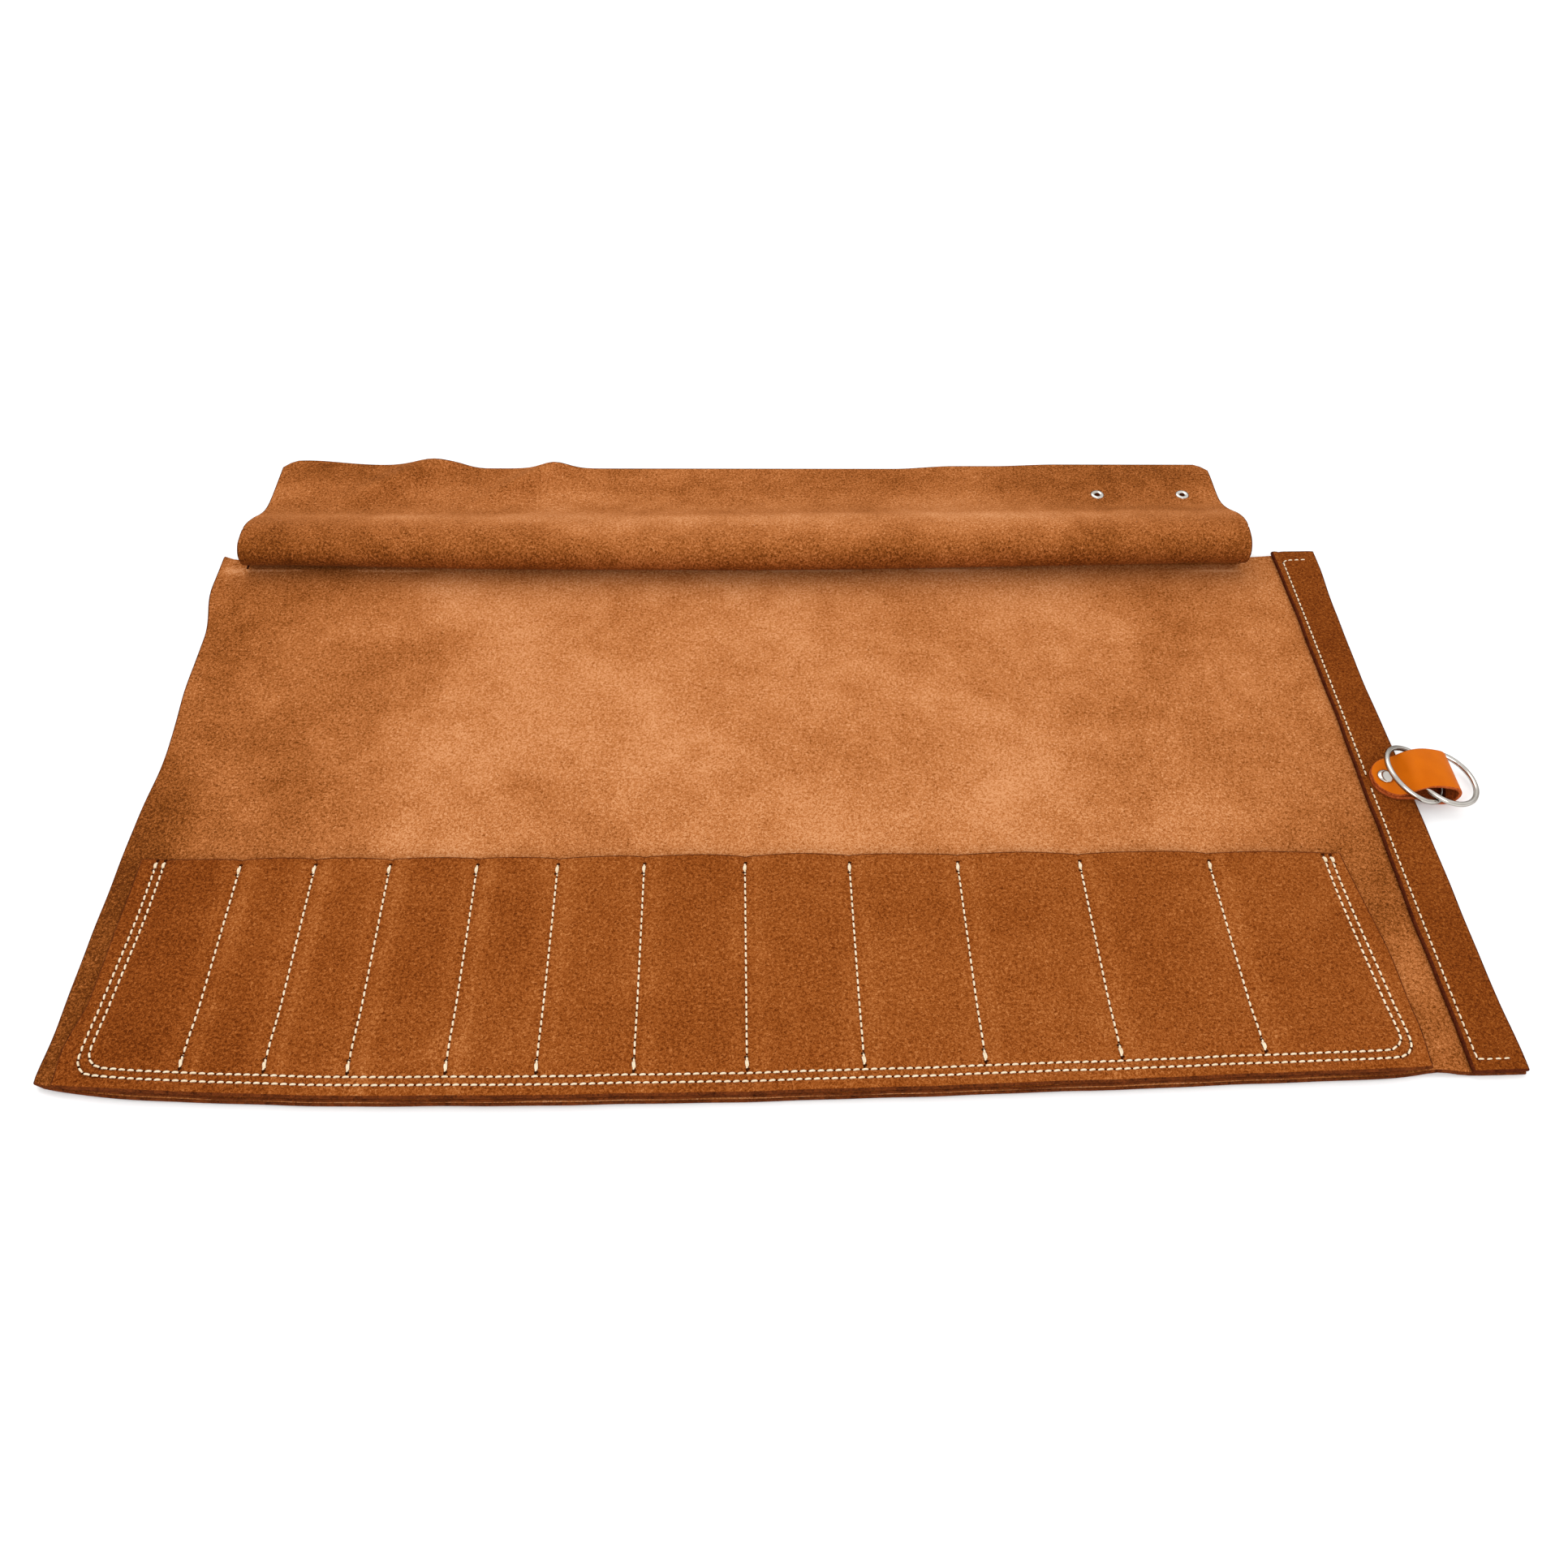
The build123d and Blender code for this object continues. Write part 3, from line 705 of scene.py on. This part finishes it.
def flap():
    """The flap in three pieces, each across one of its three fold axes, cut where nothing bends."""
    middle, place = flap_grid()
    rub = flap_nap_and_shade(place)
    line_y, line_run = middle[:, 70, 1], place[:, 70, 1]          # down one column near the middle
    crest = int(np.argmax((line_run > CUT_Y + 0.03) & (line_y > AXES["flap_ridge"][1] + 0.001)))
    slope = int(np.argmax(line_y > 0.1955))
    knee_y, knee_half = AXES["flap_knee"][1], 0.012
    # Name, first and last row, the two bodies, where the bend between them starts and ends, node.
    pieces = [
        ("flap_crease_leather", 0, crest, "roll", "riser",
         (0, 0.158, 0.003), (0, 0.1735, 0.0185), "flap_riser"),
        ("flap_ridge_leather", crest, slope, "riser", "slope",
         (0, 0.1685, 0.024), (0, 0.195, 0.024), "flap_slope"),
        ("flap_end_leather", slope, len(middle) - 1, "slope", "flap",
         (0, knee_y - knee_half, 0.004), (0, knee_y + knee_half, 0.004), "flap_end"),
    ]
    for name, first, last, body, next_body, start, end, node_name in pieces:
        rows = slice(first, last + 1)
        cuts = (0,) if node_name == "flap_end" else (0, -1)
        piece = leather(name, middle[rows], place[rows], LEATHER, PANEL_FACES, rub[rows], cuts)
        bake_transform(piece)
        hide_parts(node_name)


def closure_strap():
    """The strap under the flap, rounded at its free end."""
    along = np.concatenate([np.linspace(0, 0.03, 8)[:-1], np.linspace(0.03, 1, 60)])
    u, v = np.meshgrid(np.linspace(-1, 1, 9), along)
    x = strap_low.x + v * (strap_high.x - strap_low.x)
    half = (strap_high.y - strap_low.y) / 2
    tip = np.sqrt(np.clip((x - strap_low.x) / (1.1 * half), 0.02, 1))
    y = (strap_low.y + strap_high.y) / 2 + u * half * tip
    z = np.full_like(x, (strap_low.z + strap_high.z) / 2)
    middle = np.stack([x, y, z], -1)
    made = leather("closure_strap_leather", middle, middle[:, :, :2] + [3.0, 1.0], STRAP_LEATHER,
                   [STRIP_SUEDE, RAW_EDGE, FLESH])
    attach(made, "flap")
    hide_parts("closure_strap")


# The ring tab's path in X and Z in millimetres, from its end on the strip, round the nose and back
# over itself, where it is crowned.
TAB_LOWER = [(305.1, 5.6), (312, 5.6), (320, 5.6), (328.5, 5.6), (331.5, 4.7), (334.5, 2.8),
             (338.5, 1.3), (343.2, 2.0)]
TAB_NOSE = [(346.0, 5.2), (346.2, 9.4), (343.4, 12.6)]
TAB_UPPER_MIDDLE = [(338.5, 14.6), (333, 15.6), (327.5, 16.2), (322.8, 15.2), (319.6, 10.6),
                    (316.5, 7.5), (312, 7.27), (305.1, 7.27)]
TAB_UPPER_EDGE = [(338.5, 13.9), (333, 14.9), (328.0, 14.5), (323.2, 12.2), (319.0, 8.8),
                  (315.5, 7.4), (312, 7.27), (305.1, 7.27)]


def ring_tab():
    """The orange leather tab, folded into a loop through both rings and riveted down."""
    rows = 150
    middle_path = evenly(rounded(TAB_LOWER + TAB_NOSE + TAB_UPPER_MIDDLE), rows) * 0.001
    edge_path = evenly(rounded(TAB_LOWER + TAB_NOSE + TAB_UPPER_EDGE), rows) * 0.001
    across = np.linspace(-1, 1, 25)
    crown = (1 - np.abs(across) ** 2.2)[None, :]
    x = middle_path[:, :1] * crown + edge_path[:, :1] * (1 - crown)
    z = middle_path[:, 1:] * crown + edge_path[:, 1:] * (1 - crown)
    round_x = tab_low.x + TAB_HALF
    half = np.sqrt(np.clip(TAB_HALF ** 2 - np.clip(round_x - x, 0, None) ** 2, 1e-6, None))
    y = TAB_Y + across[None, :] * half
    run = np.linspace(0, 0.105, rows)[:, None] + 0 * x
    middle = np.stack([x, y, z], -1)
    place = np.stack([y, run], -1)
    faces = [TAB_GRAIN, TAB_EDGE, TAB_FLESH]
    made = leather("ring_tab_leather", middle, place, TAB_LEATHER, faces, edge=0.25)
    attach(made, "tab")
    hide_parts("ring_tab")


# ---- the stitches ------------------------------------------------------------------------------
def stitch_tree():
    """Stitches along a line: a thread between each two needle holes, dipping into both."""
    tree = bpy.data.node_groups.new("Stitches", "GeometryNodeTree")
    sockets = [("Geometry", "Geometry"), ("Pitch", "Float"), ("Stitch length", "Float"),
               ("Thread radius", "Float"), ("Slant", "Float"), ("Seed", "Int"), ("Thread", "Material"),
               ("Pit", "Material")]
    for name, kind in sockets:
        tree.interface.new_socket(name, in_out="INPUT", socket_type="NodeSocket" + kind)
    tree.interface.new_socket("Geometry", in_out="OUTPUT", socket_type="NodeSocketGeometry")
    given = node(tree, "NodeGroupInput").outputs
    radius = given["Thread radius"]

    def result(kind, inputs=None, **settings):
        return node(tree, kind, inputs, **settings).outputs[0]

    def times(value, factor):
        return maths(tree, "MULTIPLY", value, factor)

    def point(x, z):
        return result("ShaderNodeCombineXYZ", {0: x, 2: z})

    # The needle holes, and a point with its direction half way between each two.
    curve = result("GeometryNodeMeshToCurve", {0: given["Geometry"]})
    holes = result("GeometryNodeResampleCurve", {"Curve": curve, "Length": given["Pitch"]}, mode="LENGTH")
    wire = result("GeometryNodeCurveToMesh", {"Curve": holes})
    ends = node(tree, "GeometryNodeInputMeshEdgeVertices").outputs
    run = result("ShaderNodeVectorMath", {0: ends["Position 2"], 1: ends["Position 1"]},
                 operation="SUBTRACT")
    stored = result("GeometryNodeStoreNamedAttribute", {"Geometry": wire, "Name": "run", "Value": run},
                    data_type="FLOAT_VECTOR", domain="EDGE")
    middles = result("GeometryNodeMeshToPoints", {"Mesh": stored}, mode="EDGES")
    along = result("GeometryNodeInputNamedAttribute", {"Name": "run"}, data_type="FLOAT_VECTOR")
    facing = result("FunctionNodeAlignRotationToVector", {"Vector": along}, axis="X", pivot_axis="Z")
    jitter = node(tree, "FunctionNodeRandomValue", {2: -0.06, 3: 0.06, "Seed": given["Seed"]},
                  data_type="FLOAT")
    lean = maths(tree, "ADD", given["Slant"], jitter.outputs[1])
    twist = result("FunctionNodeEulerToRotation", {0: result("ShaderNodeCombineXYZ", {2: lean})})
    turned = result("FunctionNodeRotateRotation", {0: facing, 1: twist}, rotation_space="LOCAL")

    # One stitch: an arc of thread that thins towards both its ends.
    half = times(given["Stitch length"], 0.5)
    dip, rise = times(radius, -0.7), times(radius, 1.9)
    arc = result("GeometryNodeCurveQuadraticBezier",
                 {"Resolution": 7, "Start": point(times(half, -1.0), dip), "Middle": point(0.0, rise),
                  "End": point(half, dip)})
    spline = node(tree, "GeometryNodeSplineParameter").outputs
    threaded = result("GeometryNodeStoreNamedAttribute",
                      {"Geometry": arc, "Name": "along", "Value": spline["Length"]}, data_type="FLOAT")
    circle = result("GeometryNodeCurvePrimitiveCircle", {"Resolution": 7, "Radius": radius})
    wound = result("GeometryNodeStoreNamedAttribute",
                   {"Geometry": circle, "Name": "around", "Value": spline["Factor"]}, data_type="FLOAT")
    centred = maths(tree, "MULTIPLY_ADD", spline["Factor"], 2.0, -1.0)
    taper = maths(tree, "POWER", times(centred, centred), 2.0)
    size = maths(tree, "MULTIPLY_ADD", taper, -0.45, 1.0)
    stitch = result("GeometryNodeCurveToMesh", {"Curve": threaded, "Profile Curve": wound, "Scale": size,
                                                "Fill Caps": True})
    laid = result("GeometryNodeInstanceOnPoints",
                  {"Points": middles, "Instance": stitch, "Rotation": turned})
    thread = result("GeometryNodeRealizeInstances", {0: laid})
    thread = result("GeometryNodeSetMaterial", {0: thread, "Material": given["Thread"]})

    # The pits: flattened dark balls at the holes, painted shade for the needle holes.
    ball = result("GeometryNodeMeshUVSphere", {"Segments": 7, "Rings": 4, "Radius": times(radius, 1.25)})
    shaded_pits = result("GeometryNodeInstanceOnPoints",
                    {"Points": holes, "Instance": ball, "Scale": (1.0, 1.0, 0.3)})
    pit_shades = result("GeometryNodeRealizeInstances", {0: shaded_pits})
    pit_shades = result("GeometryNodeSetMaterial", {0: pit_shades, "Material": given["Pit"]})
    both = node(tree, "GeometryNodeJoinGeometry")
    for part in (thread, pit_shades):
        tree.links.new(part, both.inputs[0])
    node(tree, "NodeGroupOutput", {0: result("GeometryNodeSetShadeSmooth", {0: both.outputs[0]})})
    return tree


def nodes_mesh(name, lines, tree, values):
    """Runs a node tree on lines given as lists of points and returns the plain mesh object."""
    verts = [tuple(p) for line in lines for p in line]
    edges = []
    for line in lines:
        first = edges[-1][1] + 1 if edges else 0
        edges += [(first + k, first + k + 1) for k in range(len(line) - 1)]
    mesh = bpy.data.meshes.new(name + " line")
    mesh.from_pydata(verts, edges, [])
    line_object = bpy.data.objects.new(name + " line", mesh)
    bpy.context.scene.collection.objects.link(line_object)
    modifier = line_object.modifiers.new("Nodes", "NODES")
    modifier.node_group = tree
    ids = {item.name: item.identifier for item in tree.interface.items_tree if item.in_out == "INPUT"}
    for key, value in values.items():
        modifier[ids[key]] = value
    graph = bpy.context.evaluated_depsgraph_get()
    plain = bpy.data.meshes.new_from_object(line_object.evaluated_get(graph))
    bpy.data.objects.remove(line_object)
    plain.name = name
    made = bpy.data.objects.new(name, plain)
    bpy.context.scene.collection.objects.link(made)
    return made


STITCHES = stitch_tree()


def stepped(line, step):
    """A line given as X and Y, again as points about a step apart."""
    points = np.array(line, float)
    length = np.linalg.norm(np.diff(points, axis=0), axis=1).sum()
    return evenly(points, int(length / step))


def on_sheet(flat):
    """Lifts points given as X and Y on to the pocket sheet."""
    return np.column_stack([flat, sheet_height(flat[:, 0], flat[:, 1]) + LEATHER / 2])


def perimeter_line(row):
    """A row's line: down the left side, along the near edge and up the right, corners cut off."""
    chamfer = 0.0045
    top = MOUTH_Y - 0.0008
    bottom_left = near_edge(np.array([row.left(-0.17)]))[0] + row.near
    bottom_right = near_edge(np.array([row.right(-0.17)]))[0] + row.near
    left = [(row.left(y), y) for y in np.linspace(top, bottom_left + chamfer, 30)]
    right = [(row.right(y), y) for y in np.linspace(bottom_right + chamfer, top, 30)]
    xs = np.linspace(row.left(-0.17) + chamfer, row.right(-0.17) - chamfer, 90)
    return left + [(x, near_edge(np.array([x]))[0] + row.near) for x in xs] + right


def tack(x, y, lean):
    """A back tack: two short threads over the seam's end, one beside the other."""
    threads = []
    for side, lift in ((-0.00035, 0.0003), (0.0003, 0.00055)):
        ends = np.array([(x + side + lean, y - 0.0005), (x + side - lean, y - 0.0062)])
        threads.append(on_sheet(evenly(ends, 24)) + [0, 0, lift])
    return threads


def stitched(name, lines, node_name, slant, seed, thread=THREAD):
    """A piece of stitches along the lines, standing for a seam node of the frame."""
    made = nodes_mesh(name, lines, STITCHES, {
        "Pitch": PITCH, "Stitch length": PITCH * STITCH_SHARE, "Thread radius": thread, "Slant": slant,
        "Seed": seed, "Thread": CREAM_THREAD, "Pit": PIT_SHADE})
    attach(made, "roll")
    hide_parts(node_name)


def pocket_stitches():
    """Both rows round the pocket sheet and the seams between the pockets."""
    for name, row, seed in (("pocket_seam_outer", OUTER_ROW, 3), ("pocket_seam_inner", INNER_ROW, 5)):
        line = perimeter_line(row)
        knots = tack(line[0][0], MOUTH_Y, 0.0002) + tack(line[-1][0], MOUTH_Y, -0.0003)
        stitched(name + "_stitches", [on_sheet(stepped(line, 0.001))] + knots, name, 0.10, seed)
    lines = []
    for divider in DIVIDERS:
        top, bottom = MOUTH_Y - 0.0035, near_edge(np.array([divider]))[0] + INNER_ROW.near + 0.0012
        line = [(divider_line(divider, y), y) for y in np.linspace(top, bottom, 12)]
        lines.append(on_sheet(stepped(line, 0.001)))
        lines += tack(line[0][0], top, 0.0003) + tack(line[-1][0], bottom + 0.0068, -0.0003)
    stitched("divider_stitches", lines, "divider_seams", 0.05, 7)


def strip_stitches():
    """The seam along the edge strip, turned in at both ends and hidden under the tab."""
    far, near = strip_high.y - 0.0075, CORNER_Y + 0.0045
    turned_in = strip_seam_x(far) + 0.0145
    beyond = [(strip_seam_x(y), y) for y in np.linspace(far, TAB_Y + 0.004, 40)]
    before = [(strip_seam_x(y), y) for y in np.linspace(TAB_Y - 0.004, near, 40)]
    lines = []
    for part in ([(turned_in, far + 0.0008)] + beyond, before + [(turned_in, near + 0.0006)]):
        flat = stepped(part, 0.0015)
        z = ground(flat[:, 0], flat[:, 1]) + 2 * LEATHER - 0.0001
        lines.append(np.column_stack([flat, z]))
    stitched("strip_stitches", lines, "strip_seam", 0.03, 11, STRIP_THREAD)


# ---- metal -------------------------------------------------------------------------------------
def ring(name):
    """One wire ring where its node lies, with a fine closed joint in the wire."""
    low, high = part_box(name)
    centre = np.array((low + high) / 2)
    radius = (high.y - low.y - RING_WIRE) / 2
    lean = np.arctan2(high.z - low.z - RING_WIRE, high.x - low.x - RING_WIRE)
    around, about = 180, 20
    turn = np.linspace(0, 2 * pi, around, endpoint=False)
    joint = 1 - 0.10 * hill((turn - 0.7) / 0.010)
    wire = np.linspace(0, 2 * pi, about, endpoint=False)
    r = radius + RING_WIRE / 2 * joint[:, None] * np.cos(wire)
    x, y = r * np.cos(turn)[:, None], r * np.sin(turn)[:, None]
    z = RING_WIRE / 2 * joint[:, None] * np.sin(wire)
    points = np.stack([centre[0] + x * cos(lean) + z * sin(lean), centre[1] + y,
                       centre[2] - x * sin(lean) + z * cos(lean)], -1).reshape(-1, 3)
    index = np.arange(around * about).reshape(around, about)
    ahead, over = np.roll(index, -1, 0), np.roll(index, -1, 1)
    faces = np.stack([index, ahead, np.roll(ahead, -1, 1), over], -1).reshape(-1, 4)
    made = mesh_object(name + "_wire", points, faces.tolist(), [NICKEL])
    body = "left_ring" if name == "ring_left" else "right_ring"
    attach(made, body)
    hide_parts(name)


def lathed(name, section, centres, materials):
    """A section of radii and heights in millimetres, turned about upright axes at the centres."""
    about = 40
    section = [(radius * 0.001, height * 0.001) for radius, height in section]
    verts, faces = [], []
    for cx, cy, cz in centres:
        first = len(verts)
        for radius, height in section:
            for k in range(about):
                angle = 2 * pi * k / about
                verts.append((cx + radius * cos(angle), cy + radius * sin(angle), cz + height))
        for row in range(len(section) - 1):
            for k in range(about):
                a, b = first + row * about + k, first + row * about + (k + 1) % about
                faces.append((a, a + about, b + about, b))
        for row, order in ((0, 1), (len(section) - 1, -1)):
            faces.append(tuple(first + row * about + k for k in range(about))[::order])
    return mesh_object(name, verts, faces, materials)


def rivets():
    """The rivets' backs on the flap, their caps under the strap, and the tab's domed rivet."""
    back = [(4.1, -0.3), (4.15, 0.1), (3.95, 0.5), (3.4, 0.78), (2.6, 0.8), (2.0, 0.62), (1.6, 0.3),
            (1.45, 0.1), (1.35, 0.06), (0.9, 0.05), (0.05, 0.05)]
    eyelets = lathed("strap_rivet_eyelets", back, EYELETS, [NICKEL, PIT_SHADE])
    # The faces inside each eyelet's hollow take the dark pit colour: painted shade in the hollow.
    hollow_radius, hollow_top = 0.00155, 0.0004
    for face in eyelets.data.polygons:
        centre = face.center
        nearest = min(EYELETS, key=lambda c: abs(c[0] - centre.x))
        inside = (centre.x - nearest[0]) ** 2 + (centre.y - nearest[1]) ** 2 < hollow_radius ** 2
        face.material_index = 1 if inside and centre.z < nearest[2] + hollow_top else 0
    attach(eyelets, "flap")
    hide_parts("strap_rivet_backs")

    shank_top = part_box("strap_rivet_caps")[1].z * 1000
    cap = [(0.05, 0.0), (1.2, 0.0), (2.6, 0.08), (3.7, 0.3), (4.05, 0.6), (4.0, 0.85), (1.5, 0.9),
           (1.5, shank_top)]
    heads = lathed("strap_rivet_heads", cap, node_centres("strap_rivet_caps", 0.0), [NICKEL])
    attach(heads, "flap")
    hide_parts("strap_rivet_caps")

    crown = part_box("tab_rivet_cap")[1].z * 1000
    dome = [(1.5, 0.9), (1.5, crown - 1.25), (4.1, crown - 1.3), (4.25, crown - 1.05),
            (4.0, crown - 0.75), (3.3, crown - 0.35), (2.3, crown - 0.1), (1.1, crown),
            (0.05, crown + 0.02)]
    head = lathed("tab_rivet_dome", dome, [(RIVET_X, TAB_Y, 0.0)], [NICKEL])
    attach(head, "roll")
    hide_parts("tab_rivet_cap")

    base = frame["nodes"]["tab_rivet_base"]
    base.data.materials.clear()
    base.data.materials.append(NICKEL)


# ---- stage -------------------------------------------------------------------------------------
def stage():
    """A plain pale floor under soft, even light."""
    size, top = 30.0, -0.0001
    corners = [(-size, -size, top), (size, -size, top), (size, size, top), (-size, size, top)]
    floor = mesh_object("floor", corners, [(0, 1, 2, 3)], [bench_paint("bench paint")])
    world = bpy.data.worlds.new("room")
    world.use_nodes = True
    direction = node(world.node_tree, "ShaderNodeTexCoord").outputs["Generated"]
    height = node(world.node_tree, "ShaderNodeSeparateXYZ", {0: direction}).outputs[2]
    walls = ramp(world.node_tree, height, [(0.0, (0.5, 0.5, 0.5, 1)), (0.5, (1, 1, 1, 1))])
    background = world.node_tree.nodes["Background"]
    world.node_tree.links.new(walls, background.inputs["Color"])
    background.inputs["Strength"].default_value = 1.06
    bpy.context.scene.world = world
    for name, place, size, power, tilt in (("window", (-0.3, 0.9, 1.5), 1.6, 12.0, (-32, -12, 0)),
                                           ("lamp", (0.2, -1.6, 1.0), 1.2, 15.0, (57, 8, 0))):
        data = bpy.data.lights.new(name, "AREA")
        data.size = size
        data.energy = power
        lamp = bpy.data.objects.new(name, data)
        lamp.location = place
        lamp.rotation_euler = [radians(a) for a in tilt]
        bpy.context.scene.collection.objects.link(lamp)
    bpy.context.scene.view_settings.view_transform = "Standard"


def camera():
    """A camera held by hand above the near edge, looking down at the middle of the roll."""
    place = (-0.0145, -0.4417, 0.5233)
    yaw, down, tip = radians(1.977), radians(50.134), radians(-1.289)
    forward = np.array([sin(yaw) * cos(down), cos(yaw) * cos(down), -sin(down)])
    right = np.array([cos(yaw), -sin(yaw), 0.0])
    below = np.cross(forward, right)
    level = right * cos(tip) + below * sin(tip)
    fall = below * cos(tip) - right * sin(tip)
    data = bpy.data.cameras.new("camera")
    data.lens = 30.21
    data.sensor_width = 36.0
    made = bpy.data.objects.new("camera", data)
    turn = Matrix([level, -fall, -forward]).transposed().to_4x4()
    made.matrix_world = Matrix.Translation(place) @ turn
    bpy.context.scene.collection.objects.link(made)
    bpy.context.scene.camera = made


back_panel()
pocket_welt()
pocket_sheet()
edge_strip()
flap()
closure_strap()
ring_tab()
pocket_stitches()
strip_stitches()
ring("ring_left")
ring("ring_right")
rivets()
stage()
camera()
